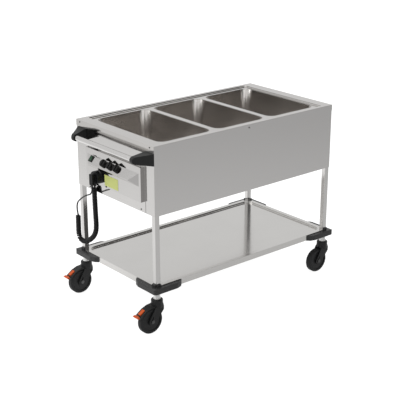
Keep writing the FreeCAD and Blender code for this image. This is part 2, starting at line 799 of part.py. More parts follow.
def make_switch():
    """Frame of the rocker switch, snapped into the console's face."""
    body = new_body("switch_frame")
    extrude(body, "Pad", "XY", "RunningGap", "SwitchRim", box_outline(
        "-SwitchLength / 2", "-SwitchWidth / 2", "SwitchLength / 2", "SwitchWidth / 2"))
    extrude(body, "Pad", "XY", "-SwitchDepth", "SwitchRim / 2", box_outline(
        "-SwitchBodyHalf", "-SwitchBodySide", "SwitchBodyHalf", "SwitchBodySide"))
    half = "RockerRadius + RockerGap"
    side = "RockerHalfWidth + RockerGap"
    extrude(body, "Pocket", "XY", "RockerPivot - RockerRadius - 2 * RockerGap", "SwitchRim", box_outline(
        f"-({half})", f"-({side})", half, side))
    place_on_console(body, "SwitchPlace")


def make_rocker():
    """Rocker whose one half is flush and whose other half stands up; its own origin is its pivot."""
    body = new_body("switch_rocker")
    extrude(body, "Pad", "XZ", "-RockerHalfWidth", "RockerHalfWidth", circle_outline("RockerRadius"))
    flush = "SwitchRim - RockerPivot + RockerGap"
    reach = "2 * RockerRadius"
    raised = f"{flush} + {reach} * tan(2 * RockerAngle)"
    extrude(body, "Pocket", "XZ", "-2 * RockerHalfWidth", "2 * RockerHalfWidth", polygon_outline([
        ("0", flush), (f"-{reach}", flush), (f"-{reach}", reach), (reach, reach), (reach, raised)]))
    place_on_console(body, "SwitchPlace", "RockerPivot")


def make_plate():
    plate = doc.addObject("Part::Box", "bare_plate")
    plate.Label = "bare_plate"
    pieces.append(plate)
    for name, formula in (("Length", "PlateThickness"), ("Width", "PlateWidth"), ("Height", "PlateHeight")):
        plate.setExpression(name, bound(formula))
    place(plate, "Middle - BoxFace - PlateThickness", "PlateMiddle - PlateWidth / 2",
          "BoxBottom + PlateRise")


# --------------------------------------------------------------------------------------------------
# Parking cup, gland, plug and coiled cord
# --------------------------------------------------------------------------------------------------
def make_cup():
    """Round cup that the plug is parked in; it opens towards -X."""
    body = new_body("plug_holder")
    extrude(body, "Pad", "YZ", "-CupDepth", "0", circle_outline("CupRadius"))
    round_edges(body, "Fillet", "CupEdge", lambda p, d: near(p.x, "-CupDepth"))
    extrude(body, "Pocket", "YZ", "-CupDepth", "-CupFloor", circle_outline("PlugRadius + SwivelGap"))
    place(body, "Middle - BoxFace", "CupPlaceY", "CupPlaceZ")


def make_gland():
    """Tapered relief under the control box, where the cord comes out."""
    gland = doc.addObject("Part::Cone", "cable_gland")
    gland.Label = "cable_gland"
    pieces.append(gland)
    for name, formula in (("Radius1", "GlandEndRadius"), ("Radius2", "GlandRadius"),
                          ("Height", "GlandLength")):
        gland.setExpression(name, bound(formula))
    place(gland, "Middle - BoxFace + GlandRadius", "GlandPlace", "BoxBottom - GlandLength")


def make_plug():
    """Angled plug: a round front with two pins and a flat grip from whose foot the cord leaves."""
    body = new_body("plug")
    front = "-(CupDepth - PlugInsert)"
    neck = "-(CupDepth + PlugNeck)"
    back = "-(CupDepth + PlugNeck + GripThick)"
    extrude(body, "Pad", "YZ", neck, front, circle_outline("PlugRadius"))
    half = "PlugGripWidth / 2"
    extrude(body, "Pad", "YZ", back, neck, rounded_outline(
        half, "(PlugGripTop + PlugGripDrop) / 2", "PlugGripCorner", "0", "(PlugGripTop - PlugGripDrop) / 2"))
    for side in (-1, 1):
        extrude(body, "Pad", "YZ", f"{front} - WeldLap", f"{front} + PinLength", circle_outline(
            "PinRadius", f"{side} * PinSpacing / 2", "0"))
    relief = body.newObject("PartDesign::AdditiveCone", "relief")
    for name, formula in (("Radius1", "ReliefEndRadius"), ("Radius2", "ReliefRadius"),
                          ("Height", "ReliefLength")):
        relief.setExpression(name, bound(formula))
    relief.setExpression("Placement.Base.x", bound(f"{neck} - GripThick / 2"))
    relief.setExpression("Placement.Base.z", bound("ReliefSunk - PlugGripDrop - ReliefLength"))
    body.Tip = relief
    place(body, "Middle - BoxFace", "CupPlaceY", "CupPlaceZ")


# Route of the cord from the plug to the coil, and of the coil's axis from there to the gland, as
# distances from the middle of the control box's lower front edge.
TAIL_ROUTE = [
    (-41, 104, -9), (-41, 105.5, -23), (-40.8, 112, -35), (-40.3, 125, -46.5), (-38.8, 152, -57),
    (-36.2, 187, -75), (-32.5, 223, -99), (-28.5, 252, -121), (-25.5, 265, -145), (-23.5, 268, -168),
    (-22.5, 264, -189),
]
COIL_ROUTE = [
    (-22.5, 264, -189), (-21.5, 265, -222), (-20, 268, -256), (-18.5, 271, -284), (-17.5, 270.5, -302),
    (-16.5, 265, -318), (-15, 249, -325.5), (-13.5, 229, -325.5), (-11.5, 206, -317), (-9.5, 181, -301.5),
    (-7.5, 155, -278), (-5.5, 138, -249), (-4, 135, -216), (-2.5, 139, -180), (-0.5, 143, -135),
    (2, 147, -82), (3.8, 149.5, -48), (4.4, 150, -20),
]


def tube_along(label, route, radius):
    """Round solid along straight runs joined by tangent arcs, as large as the runs allow."""
    points = [Vector(*spot) for spot in route]
    edges = []
    radii = []
    here = points[0]
    for before, corner, after in zip(points, points[1:], points[2:]):
        inward = (before - corner).normalize()
        outward = (after - corner).normalize()
        share = 0.45 * min((before - corner).Length, (after - corner).Length)
        half_turn = (math.pi - inward.getAngle(outward)) / 2
        bend = share / math.tan(half_turn)
        first = corner + inward * share
        last = corner + outward * share
        bisector = (inward + outward).normalize()
        middle = corner + bisector * (bend / math.cos(half_turn) - bend)
        edges.append(Part.LineSegment(here, first).toShape())
        edges.append(Part.Arc(first, middle, last).toShape())
        radii.append(round(bend, 1))
        here = last
    edges.append(Part.LineSegment(here, points[-1]).toShape())
    spine = Part.Wire(edges)
    profile = Part.Wire([Part.makeCircle(radius, points[0], points[1] - points[0])])
    tube = doc.addObject("Part::Feature", label)
    tube.Shape = spine.makePipeShell([profile], True, True)
    tube.Label = label
    place(tube, "Middle - BoxFace", 0, "BoxBottom")
    pieces.append(tube)
    whole = math.pi * radius ** 2 * spine.Length
    print(label, "radii", radii, "length", round(spine.Length, 1),
          "volume", round(tube.Shape.Volume), "of", round(whole))


# --------------------------------------------------------------------------------------------------
# Casters
# --------------------------------------------------------------------------------------------------
def make_stems():
    """Steel stems between the legs and the casters' swivel heads, one solid each in one node."""
    stems = []
    for sign_x, sign_y in CORNERS.values():
        parts = []
        for name, radius, low, high in (
                ("collar", "StemRadius", "StemBottom", "BumperBottom"),
                ("cap", "StemCap", "StemBottom", "StemBottom + StemCapHeight"),
                ("pin", "StemPin", "StemBottom - StemPinLength", "StemBottom + WeldLap")):
            disc = doc.addObject("Part::Cylinder", name)
            disc.setExpression("Radius", bound(radius))
            disc.setExpression("Height", bound(f"{high} - ({low})"))
            place(disc, 0, 0, low)
            parts.append(disc)
        plug = doc.addObject("Part::Box", "leg_plug")
        side = "(LegSide - 2 * LegWall - 2 * StemPlugGap)"
        for name, formula in (("Length", side), ("Width", side), ("Height", "StemPlug + WeldLap")):
            plug.setExpression(name, bound(formula))
        place(plug, f"-{side} / 2", f"-{side} / 2", "BumperBottom - WeldLap")
        parts.append(plug)
        stem = doc.addObject("Part::MultiFuse", "stem")
        stem.Shapes = parts
        place(stem, f"{sign_x} * LegX", f"{sign_y} * LegY", 0)
        stems.append(stem)
    group = doc.addObject("Part::Compound", "caster_stems")
    group.Label = "caster_stems"
    group.Links = stems
    pieces.append(group)
    place(group, "Middle", 0, 0)


def at_caster(body, sign_x, sign_y):
    place(body, f"Middle + {sign_x} * LegX", f"{sign_y} * LegY", 0)


def make_fork(name, sign_x, sign_y):
    """Swivel fork; its own origin is on the floor under the stem, and the wheel trails towards -X."""
    body = new_body(f"caster_fork_{name}")
    braked = sign_x < 0
    clear = circle_outline("WheelRadius + WheelGap", "-CasterTrail", "WheelRadius")
    if braked:
        half = "BrakeWidth / 2"
        extrude(body, "Pad", "XZ", f"-{half}", half, polygon_outline([
            ("0", "BrakeTop"), ("-HeadRadius / 2", "BrakeTop"), ("-BrakeBendX", "BrakeBendZ"),
            ("-BrakeKneeX", "BrakeKneeZ"), ("-BrakeEndX", "BrakeEndZ"),
            ("-BrakeEndX", "HeadBottom - HeadRadius"), ("0", "HeadBottom - HeadRadius")]))
        extrude(body, "Pocket", "XZ", f"-{half}", half, clear)
        slot = "PedalSlot / 2"
        extrude(body, "Pocket", "XZ", f"-{slot}", slot, box_outline(
            "-2 * BrakeEndX", "0", "-PedalInner + PedalGap", "2 * BrakeEndX"))
        extrude(body, "Pocket", "XZ", f"-{half}", half, circle_outline(
            "PedalPin + RunningGap", "-PedalPivotX", "PedalPivotZ"))
    half = "ForkWidth / 2"
    eye = "ForkEye"
    extrude(body, "Pad", "XZ", f"-{half}", half, polygon_outline([
        ("ForkNeck", "ForkTop"), ("ForkNeck", "ForkFrontBend"),
        (f"-CasterTrail + {eye} * cos(EyeFrontAngle)", f"WheelRadius - {eye} * sin(EyeFrontAngle)"),
        (f"-CasterTrail - {eye} * cos(EyeBackAngle)", f"WheelRadius + {eye} * sin(EyeBackAngle)"),
        ("-ForkNeck - HeadEdge", "ForkBackBend"), ("-ForkNeck", "ForkTop")]))
    extrude(body, "Pad", "XZ", f"-{half}", half, circle_outline(eye, "-CasterTrail", "WheelRadius"))
    for side in (-1, 1):
        extrude(body, "Pocket", "YZ", "-2 * ForkNeck", "2 * ForkNeck", polygon_outline([
            (f"{side} * {half}", "ForkShoulder"), (f"{side} * {half}", "ForkTop"),
            (f"{side} * ForkTopHalf", "ForkTop")]))
    extrude(body, "Pad", "XY", "HeadBottom", "HeadTop", circle_outline("HeadRadius"))
    round_edges(body, "Fillet", "HeadEdge", lambda p, d: near(p.z, "HeadTop"))
    room = "(WheelWidth / 2 + SideGap)"
    extrude(body, "Pocket", "XZ", f"-{room}", room, clear)
    extrude(body, "Pocket", "XZ", f"-{half}", half, circle_outline(
        "AxleRadius + RunningGap", "-CasterTrail", "WheelRadius"))
    for side in (-1, 1):
        levels = sorted((f"{side} * {room}", f"{side} * {half}"), key=value)
        extrude(body, "Pocket", "XZ", levels[0], levels[1], polygon_outline([
            ("-SlotTopX", "SlotTopZ"), ("-SlotTopX + SlotWidth", "SlotTopZ"),
            ("-SlotFootX + SlotWidth", "SlotFootZ"), ("-SlotFootX", "SlotFootZ")]))
    extrude(body, "Pocket", "XY", "HeadTop - StemPinLength - RunningGap", "HeadTop", circle_outline(
        "StemPin + RunningGap"))
    at_caster(body, sign_x, sign_y)


def make_wheel(name, sign_x, sign_y):
    tyre = new_body(f"tyre_{name}")
    half = "WheelWidth / 2"
    axle = ("-CasterTrail", "WheelRadius")

    def ring(sketch):
        draw_circle(sketch, *axle, "WheelRadius")
        draw_circle(sketch, *axle, "WheelRadius - TyreDepth")

    extrude(tyre, "Pad", "XZ", f"-{half}", half, ring)
    round_edges(tyre, "Fillet", "TyreEdge", lambda p, d: (
        abs(abs(p.y) - value(half)) < 0.01 and near(
            math.hypot(p.x + value("CasterTrail"), p.z - value("WheelRadius")), "WheelRadius")))
    at_caster(tyre, sign_x, sign_y)
    hub = new_body(f"wheel_hub_{name}")
    extrude(hub, "Pad", "XZ", f"HubInset - {half}", f"{half} - HubInset", circle_outline(
        "WheelRadius - TyreDepth", *axle))
    extrude(hub, "Pad", "XZ", f"-{half} - SideGap / 2", f"{half} + SideGap / 2", circle_outline(
        "HubBossRadius", *axle))
    extrude(hub, "Pocket", "XZ", f"-{half} - SideGap", f"{half} + SideGap", circle_outline(
        "AxleRadius + RunningGap", *axle))
    at_caster(hub, sign_x, sign_y)
    bolt = new_body(f"axle_{name}")
    outer = "ForkWidth / 2"
    extrude(bolt, "Pad", "XZ", f"-{outer} - AxleHead", f"{outer} + AxleHead", circle_outline(
        "AxleRadius", *axle))
    for side in (-1, 1):
        levels = sorted((f"{side} * {outer}", f"{side} * ({outer} + AxleHead)"), key=value)
        extrude(bolt, "Pad", "XZ", levels[0], levels[1], circle_outline("AxleHeadRadius", *axle))
    at_caster(bolt, sign_x, sign_y)


def make_pedal(name, sign_x, sign_y):
    """Brake pedal: a lever in the slot of the brake arm, with a wide tip to step on."""
    body = new_body(f"brake_pedal_{name}")
    half = "(PedalSlot / 2 - PedalGap)"
    inner_top = "BrakeKneeZ + PedalRise"
    extrude(body, "Pad", "XZ", f"-{half}", half, polygon_outline([
        ("-PedalInner", f"{inner_top} - PedalThick"), ("-PedalInner", inner_top),
        ("-PedalTipX", "PedalTipZ"), ("-PedalTipX", "PedalTipZ - PedalTipThick"),
        ("-PedalPivotX", "PedalPivotZ - PedalThick / 2")]))
    wide = "PedalWidth / 2"
    middle = "(PedalTipX + PedalReach) / 2"
    extrude(body, "Pad", "XZ", f"-{wide}", wide, polygon_outline([
        ("-PedalTipX", "PedalTipZ"), (f"-{middle}", "PedalTipZ"),
        ("-PedalReach", "PedalTipZ - PedalThick / 2"), (f"-{middle}", "PedalTipZ - PedalTipThick"),
        ("-PedalTipX", "PedalTipZ - PedalTipThick")]))
    pin = "BrakeWidth / 2 - PedalGap"
    extrude(body, "Pad", "XZ", f"-({pin})", pin, circle_outline("PedalPin", "-PedalPivotX", "PedalPivotZ"))
    at_caster(body, sign_x, sign_y)


# --------------------------------------------------------------------------------------------------
# Screws
# --------------------------------------------------------------------------------------------------
def make_screws():
    """Low round screw heads on the housing, one solid each in one node."""
    outward_x = Vector(0, 1, 0)
    outward_y = Vector(1, 0, 0)
    spots = []
    for side in (-1, 1):
        turn = Rotation(outward_x, 90 * side)
        for end in (-1, 1):
            spots.append((f"{side} * DeckX", f"{end} * (WallY - ScrewInset)", "WorkHeight - ScrewDrop", turn))
        spots.append(("0", f"{side} * WallY", "WorkHeight - SideScrewDrop", Rotation(outward_y, -90 * side)))
        for height in ("HousingBottom + PanelScrewDrop", "ServiceTop - ScrewRadius - ScrewMargin"):
            spots.append(("-PanelFace", f"{side} * PanelScrewPlace", height, Rotation(outward_x, -90)))
    heads = []
    for x, y, z, turn in spots:
        head = doc.addObject("Part::Cone", "screw")
        for name, formula in (("Radius1", "ScrewRadius"), ("Radius2", "ScrewRadius - ScrewHeight / 2"),
                              ("Height", "ScrewHeight")):
            head.setExpression(name, bound(formula))
        place(head, x, y, z, turn)
        heads.append(head)
    group = doc.addObject("Part::Compound", "panel_screws")
    group.Label = "panel_screws"
    group.Links = heads
    pieces.append(group)
    place(group, "Middle", 0, 0)


make_bracket("near", -1)
make_bracket("far", 1)
make_bar()
make_control_box()
for number in (1, 2, 3):
    make_thermostat(number)
    make_knob(number)
make_switch()
make_rocker()
make_plate()
make_cup()
make_gland()
make_plug()
tube_along("cord_tail", TAIL_ROUTE, value("CordRadius"))
tube_along("cord_coil", COIL_ROUTE, value("CoilRadius"))
make_stems()
for corner_name, signs in CORNERS.items():
    make_fork(corner_name, *signs)
    make_wheel(corner_name, *signs)
    if signs[0] < 0:
        make_pedal(corner_name, *signs)
make_screws()

# --------------------------------------------------------------------------------------------------
# Check and export
# --------------------------------------------------------------------------------------------------
doc.recompute()
for item in doc.Objects:
    if "Invalid" in item.State or "Error" in item.State:
        raise RuntimeError(f"{item.Name} failed: {item.State}")
for piece in pieces:
    if piece.Shape.isNull() or not piece.Shape.isValid():
        raise RuntimeError(f"{piece.Label} has no valid shape")
os.makedirs("parts", exist_ok=True)
for piece in pieces:
    piece.Shape.exportStep(f"parts/{piece.Label}.step")
    print(piece.Label, len(piece.Shape.Solids), round(piece.Shape.Volume, 1), piece.Shape.BoundBox)
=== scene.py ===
"""Looks of the heated food serving trolley, in metres, in the model's own frame."""
import math

import bpy
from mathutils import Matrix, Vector


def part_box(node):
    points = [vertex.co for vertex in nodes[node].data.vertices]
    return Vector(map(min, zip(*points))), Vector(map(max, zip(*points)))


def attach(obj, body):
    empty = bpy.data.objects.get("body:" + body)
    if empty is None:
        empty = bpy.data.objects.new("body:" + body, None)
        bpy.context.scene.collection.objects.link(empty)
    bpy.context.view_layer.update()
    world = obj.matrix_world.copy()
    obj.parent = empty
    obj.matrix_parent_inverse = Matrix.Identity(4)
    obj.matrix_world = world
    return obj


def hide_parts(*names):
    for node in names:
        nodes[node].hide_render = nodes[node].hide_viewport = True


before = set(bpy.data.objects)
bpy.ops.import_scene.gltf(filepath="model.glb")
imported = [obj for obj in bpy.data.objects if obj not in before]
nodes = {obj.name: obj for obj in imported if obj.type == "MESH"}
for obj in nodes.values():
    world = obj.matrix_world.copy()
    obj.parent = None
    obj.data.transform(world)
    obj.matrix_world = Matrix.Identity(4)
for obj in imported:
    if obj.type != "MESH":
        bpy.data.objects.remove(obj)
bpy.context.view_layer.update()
scene = bpy.context.scene


# ------------------------------------------------------------------------------------------
# Camera
# ------------------------------------------------------------------------------------------
LENS_MM = 91.265
SENSOR_MM = 36
CAMERA_PLACE = (-3.0951, -3.6783, 2.1931)
CAMERA_AZIMUTH = math.radians(-40.06)
CAMERA_ELEVATION = math.radians(19.96)
CAMERA_REACH = 100


def aim(thing, back):
    """Turn a camera or a lamp so that it looks away from that direction."""
    thing.rotation_euler = (-back).to_track_quat("-Z", "Y").to_euler()


def make_camera():
    data = bpy.data.cameras.new("camera")
    data.sensor_width = SENSOR_MM
    data.lens = LENS_MM
    data.clip_end = CAMERA_REACH
    camera = bpy.data.objects.new("camera", data)
    scene.collection.objects.link(camera)
    level = math.cos(CAMERA_ELEVATION)
    back = Vector((math.sin(CAMERA_AZIMUTH) * level, -math.cos(CAMERA_AZIMUTH) * level,
                   math.sin(CAMERA_ELEVATION)))
    camera.location = CAMERA_PLACE
    aim(camera, back)
    scene.camera = camera


# ------------------------------------------------------------------------------------------
# Studio
# ------------------------------------------------------------------------------------------
WHITE = (1, 1, 1, 1)
ACROSS = (-0.25, 0.97, 0)  # from the camera's side of the studio to the far left
WORLD_TONE = {"low": 0.1, "high": 0.86, "start": -0.9, "end": -0.4}
FLOOR_TONE = {"low": 0.62, "high": 1.02, "start": -0.3, "end": 0.8}
FLOOR_FADE = {"From_Min": 1.4, "From_Max": 3.8, "To_Min": 1.15, "To_Max": 0.89}
FLOOR_HALF = 30
FLOOR_GREY = (0.8, 0.8, 0.8, 1)
FLOOR_GLOW = 0.9  # what the camera sees of the floor without any shadow on it ...
FLOOR_SHADE = (0.3, 0.3, 0.3, 1)  # ... and the part of it that a shadow takes away
LAMPS = {  # place, size and power
    "key": ((-3.5, 1.5, 3.5), 4.5, 60),
    "fill": ((-1.5, -4.5, 3.0), 4.5, 40),
    "top": ((0.5, 0.5, 4.5), 5.0, 50),
}
LAMP_TARGET = Vector((0, 0, 0.5))


def add_node(tree, kind, **values):
    """New shader node; each name sets the node's property of that name, or else its input."""
    node = tree.nodes.new(kind)
    for name, content in values.items():
        if hasattr(node, name):
            setattr(node, name, content)
        else:
            node.inputs[name.replace("_", " ")].default_value = content
    return node


def add_math(tree, operation, first, second):
    """Math node of two inputs, each of them a socket or a number; gives its output."""
    node = add_node(tree, "ShaderNodeMath", operation=operation)
    for socket, content in zip(node.inputs, (first, second)):
        if isinstance(content, (int, float)):
            socket.default_value = content
        else:
            tree.links.new(content, socket)
    return node.outputs[0]


def add_mix(tree, choice, first, second):
    """Mix of two shaders: the first where choice is 0, the second where it is 1."""
    node = add_node(tree, "ShaderNodeMixShader")
    for socket, content in zip(node.inputs, (choice, first, second)):
        tree.links.new(content, socket)
    return node.outputs[0]


def soft_tone(tree, vector, low, high, start, end):
    """Grey that rises from low to high across the studio, between two slants of a vector."""
    slant = add_node(tree, "ShaderNodeVectorMath", operation="DOT_PRODUCT")
    slant.inputs[1].default_value = ACROSS
    tree.links.new(vector, slant.inputs[0])
    tone = add_node(tree, "ShaderNodeMapRange", From_Min=start, From_Max=end,
                    To_Min=low, To_Max=high)
    tree.links.new(slant.outputs["Value"], tone.inputs["Value"])
    return tone.outputs["Result"]


def make_world():
    """Soft light from all round, dimmer at the near right, and plain white for the camera."""
    world = bpy.data.worlds.new("studio")
    scene.world = world
    world.use_nodes = True
    tree = world.node_tree
    tree.nodes.clear()
    coords = add_node(tree, "ShaderNodeTexCoord")
    soft = add_node(tree, "ShaderNodeBackground", Color=WHITE)
    tone = soft_tone(tree, coords.outputs["Generated"], **WORLD_TONE)
    tree.links.new(tone, soft.inputs["Strength"])
    white = add_node(tree, "ShaderNodeBackground", Color=WHITE)
    path = add_node(tree, "ShaderNodeLightPath")
    sky = add_mix(tree, path.outputs["Is Camera Ray"], soft.outputs[0], white.outputs[0])
    output = add_node(tree, "ShaderNodeOutputWorld")
    tree.links.new(sky, output.inputs["Surface"])


def floor_glow(tree):
    """What metal and glass see in the floor: pale, with a slow change across and outwards."""
    coords = add_node(tree, "ShaderNodeTexCoord")
    direction = add_node(tree, "ShaderNodeVectorMath", operation="NORMALIZE")
    tree.links.new(coords.outputs["Object"], direction.inputs[0])
    tone = soft_tone(tree, direction.outputs[0], **FLOOR_TONE)
    distance = add_node(tree, "ShaderNodeVectorMath", operation="LENGTH")
    tree.links.new(coords.outputs["Object"], distance.inputs[0])
    fade = add_node(tree, "ShaderNodeMapRange", **FLOOR_FADE)
    tree.links.new(distance.outputs["Value"], fade.inputs["Value"])
    glow = add_node(tree, "ShaderNodeEmission")
    strength = add_math(tree, "MULTIPLY", tone, fade.outputs["Result"])
    tree.links.new(strength, glow.inputs["Strength"])
    return glow.outputs[0]


def make_floor():
    """Pale floor that keeps the object's shadow and shines back in metal and glass."""
    mesh = bpy.data.meshes.new("floor")
    mesh.from_pydata([(-FLOOR_HALF, -FLOOR_HALF, 0), (FLOOR_HALF, -FLOOR_HALF, 0),
                      (FLOOR_HALF, FLOOR_HALF, 0), (-FLOOR_HALF, FLOOR_HALF, 0)],
                     [], [(0, 1, 2, 3)])
    floor = bpy.data.objects.new("floor", mesh)
    scene.collection.objects.link(floor)
    material = bpy.data.materials.new("floor")
    material.use_nodes = True
    tree = material.node_tree
    tree.nodes.clear()
    diffuse = add_node(tree, "ShaderNodeBsdfDiffuse", Color=FLOOR_GREY)
    plain = add_node(tree, "ShaderNodeEmission", Strength=FLOOR_GLOW)
    shade = add_node(tree, "ShaderNodeBsdfDiffuse", Color=FLOOR_SHADE)
    white = add_node(tree, "ShaderNodeAddShader")
    tree.links.new(plain.outputs[0], white.inputs[0])
    tree.links.new(shade.outputs[0], white.inputs[1])
    path = add_node(tree, "ShaderNodeLightPath")
    mirrored = add_math(tree, "MAXIMUM", path.outputs["Is Glossy Ray"],
                        path.outputs["Is Transmission Ray"])
    unseen = add_mix(tree, mirrored, diffuse.outputs[0], floor_glow(tree))
    surface = add_mix(tree, path.outputs["Is Camera Ray"], unseen, white.outputs[0])
    output = add_node(tree, "ShaderNodeOutputMaterial")
    tree.links.new(surface, output.inputs["Surface"])
    floor.data.materials.append(material)


def make_lamp(name, place, size, power):
    data = bpy.data.lights.new(name, "AREA")
    data.shape = "DISK"
    data.size = size
    data.energy = power
    lamp = bpy.data.objects.new(name, data)
    lamp.location = place
    aim(lamp, lamp.location - LAMP_TARGET)
    scene.collection.objects.link(lamp)


# ------------------------------------------------------------------------------------------
# Materials
# ------------------------------------------------------------------------------------------
NOISE_LOW, NOISE_HIGH = 0.1, 0.9  # the range of a noise that colour and roughness use
BRUSHED_ALONG, BRUSHED_ACROSS = 6, 900  # cells per metre of a brushed sheet's grain
STEEL_CLOUDS = (5, 5, 5)
PLASTIC_GRAINS = (900, 900, 900)
PLASTIC_CLOUDS = (25, 25, 25)

PEDAL_SIDE, PEDAL_HALF = 0.2905, 0.0093  # middle of a pedal off the centre, half its width
BAND_X, BAND_HALF = -0.6165, 0.0036  # black band painted round the pedal, along X
PIN_X, PIN_HALF = -0.599, 0.004  # pin ends beside the pedal, along X
BAND_BLACK = (0.012, 0.012, 0.012, 1)


def new_material(name, colour, metallic, roughness, **values):
    material = bpy.data.materials.new(name)
    material.use_nodes = True
    shader = material.node_tree.nodes["Principled BSDF"]
    shader.inputs["Base Color"].default_value = (*colour, 1)
    shader.inputs["Metallic"].default_value = metallic
    shader.inputs["Roughness"].default_value = roughness
    for socket, content in values.items():
        shader.inputs[socket.replace("_", " ")].default_value = content
    return material


def noise_at(tree, cells, detail):
    """Noise over the object's own coordinates, with that many cells per metre on each axis."""
    coords = add_node(tree, "ShaderNodeTexCoord")
    mapping = add_node(tree, "ShaderNodeMapping", Scale=cells)
    noise = add_node(tree, "ShaderNodeTexNoise", Scale=1.0, Detail=detail)
    tree.links.new(coords.outputs["Object"], mapping.inputs["Vector"])
    tree.links.new(mapping.outputs["Vector"], noise.inputs["Vector"])
    return noise.outputs["Fac"]


def vary_colour(material, colour, spread, first, second):
    """Base colour that goes from darker to lighter by spread with the mean of two noises."""
    tree = material.node_tree
    mean = add_math(tree, "MULTIPLY", add_math(tree, "ADD", first, second), 0.5)
    ramp = add_node(tree, "ShaderNodeValToRGB")
    dark, light = ramp.color_ramp.elements
    dark.position = NOISE_LOW
    light.position = NOISE_HIGH
    dark.color = (*(c * (1 - spread) for c in colour), 1)
    light.color = (*(min(c * (1 + spread), 1) for c in colour), 1)
    tree.links.new(mean, ramp.inputs["Fac"])
    tree.links.new(ramp.outputs["Color"], tree.nodes["Principled BSDF"].inputs["Base Color"])


def vary_roughness(material, low, high, noise):
    tree = material.node_tree
    spread = add_node(tree, "ShaderNodeMapRange", From_Min=NOISE_LOW, From_Max=NOISE_HIGH,
                      To_Min=low, To_Max=high)
    tree.links.new(noise, spread.inputs["Value"])
    tree.links.new(spread.outputs["Result"], tree.nodes["Principled BSDF"].inputs["Roughness"])


def add_bump(material, noise, depth):
    tree = material.node_tree
    bump = add_node(tree, "ShaderNodeBump", Strength=1.0, Distance=depth)
    tree.links.new(noise, bump.inputs["Height"])
    tree.links.new(bump.outputs["Normal"], tree.nodes["Principled BSDF"].inputs["Normal"])


def steel(name, colour, roughness, along, spread=0.07, grain=0.00002):
    """Brushed sheet whose grain runs along one axis, with faint clouds from handling."""
    material = new_material(name, colour, 1.0, roughness)
    tree = material.node_tree
    cells = [BRUSHED_ALONG if axis == along else BRUSHED_ACROSS for axis in "XYZ"]
    streaks = noise_at(tree, cells, 2.0)
    clouds = noise_at(tree, STEEL_CLOUDS, 3.0)
    vary_colour(material, colour, spread, streaks, clouds)
    vary_roughness(material, roughness * 0.75, roughness * 1.3, clouds)
    add_bump(material, streaks, grain)
    return material


def plastic(name, colour, roughness, grain, spread=0.22, gloss=0.25):
    """Moulded plastic with a fine grain and faint clouds."""
    material = new_material(name, colour, 0.0, roughness, Specular_IOR_Level=gloss)
    tree = material.node_tree
    grains = noise_at(tree, PLASTIC_GRAINS, 2.0)
    clouds = noise_at(tree, PLASTIC_CLOUDS, 4.0)
    vary_colour(material, colour, spread, clouds, grains)
    vary_roughness(material, roughness * 0.85, roughness * 1.15, clouds)
    add_bump(material, grains, grain)
    return material


def within(tree, distance, middle, half):
    """1 where a distance lies within half of a middle."""
    test = add_node(tree, "ShaderNodeMath", operation="COMPARE")
    test.inputs[1].default_value = middle
    test.inputs[2].default_value = half
    tree.links.new(distance, test.inputs[0])
    return test.outputs[0]


def band_black(material):
    """Black band painted round the pedal before its tip, and black pin ends beside it."""
    tree = material.node_tree
    shader = tree.nodes["Principled BSDF"]
    coords = add_node(tree, "ShaderNodeTexCoord")
    place = add_node(tree, "ShaderNodeSeparateXYZ")
    tree.links.new(coords.outputs["Object"], place.inputs[0])
    aside = add_node(tree, "ShaderNodeMath", operation="ABSOLUTE")
    tree.links.new(place.outputs["Y"], aside.inputs[0])
    beside = add_math(tree, "SUBTRACT", 1,
                      within(tree, aside.outputs[0], PEDAL_SIDE, PEDAL_HALF))
    pin = add_math(tree, "MULTIPLY", beside, within(tree, place.outputs["X"], PIN_X, PIN_HALF))
    black = add_math(tree, "MAXIMUM", pin, within(tree, place.outputs["X"], BAND_X, BAND_HALF))
    mix = add_node(tree, "ShaderNodeMixRGB", blend_type="MIX")
    tree.links.new(black, mix.inputs["Fac"])
    tree.links.new(shader.inputs["Base Color"].links[0].from_socket, mix.inputs["Color1"])
    mix.inputs["Color2"].default_value = BAND_BLACK
    tree.links.new(mix.outputs["Color"], shader.inputs["Base Color"])


# ------------------------------------------------------------------------------------------
# Edges
# ------------------------------------------------------------------------------------------
WELD_REACH = 0.00001
BEVEL_ANGLE = math.radians(30)


def dress(name, material, width=0.0, segments=2):
    """Give a CAD node its material, and soften its edges where it has a width."""
    node = nodes[name]
    node.data.materials.clear()
    node.data.materials.append(material)
    if width:
        weld = node.modifiers.new("weld", "WELD")
        weld.merge_threshold = WELD_REACH
        bevel = node.modifiers.new("edges", "BEVEL")
        bevel.width = width
        bevel.segments = segments
        bevel.limit_method = "ANGLE"
        bevel.angle_limit = BEVEL_ANGLE
        bevel.harden_normals = True


# ------------------------------------------------------------------------------------------
# Cord
# ------------------------------------------------------------------------------------------
CORD_RADIUS = 0.0036
CURL_RADIUS = 0.0094  # of the wire's middle line
TURN_PITCH = 0.0073
TURN_POINTS = 16
CURL_RAMP = 0.012  # run over which the curl opens and closes at its ends
CURL_LEAST = 0.2  # least opening that sets the pitch there
MOST_CROWDING = 0.5  # most that a bend may take from the pitch on its inside
GUIDE_RESOLUTION = 40
GUIDE_REACH = 30  # points each way over which the guide's bend is read
SAME_POINT = 0.00002
